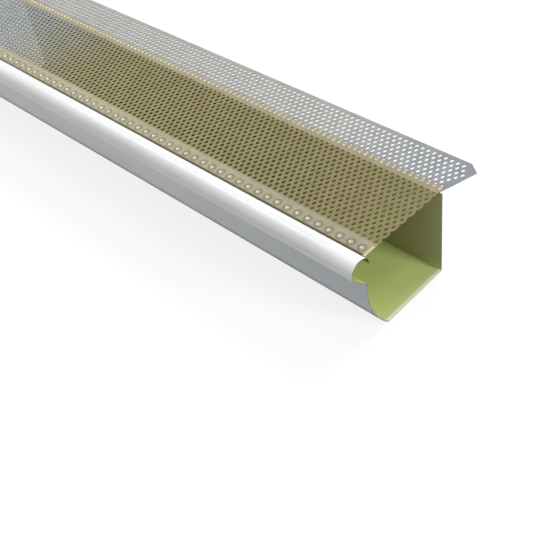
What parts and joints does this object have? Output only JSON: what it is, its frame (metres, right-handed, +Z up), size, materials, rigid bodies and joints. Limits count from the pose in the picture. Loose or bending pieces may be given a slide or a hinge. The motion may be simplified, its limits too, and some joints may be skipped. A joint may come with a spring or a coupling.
{
  "type": "gutter guard",
  "caption": "Bent expanded-mesh gutter guard with a pipped front strip and a rear flange, lying on a short length of quad gutter with a rolled front bead.",
  "frame": {"origin": "middle of the underside of the trough's sole", "axes": "+X along the gutter to its trimmed near end, +Y from the bead to the back wall, +Z up"},
  "size_m": [0.925, 0.1595, 0.0975],
  "materials": {
    "trough_enamel": "satin grey enamel outside, yellow-green wash coat inside",
    "guard_sheet": "mill finish, slightly warm"
  },
  "bodies": {
    "root": {"gutter_trough": "trough_enamel", "guard_bay_01": "guard_sheet", "guard_bay_02": "guard_sheet", "guard_bay_03": "guard_sheet", "guard_bay_04": "guard_sheet", "guard_bay_05": "guard_sheet", "guard_bay_06": "guard_sheet", "guard_bay_07": "guard_sheet", "guard_bay_08": "guard_sheet", "guard_bay_09": "guard_sheet", "guard_bay_10": "guard_sheet"}
  },
  "joints": []
}
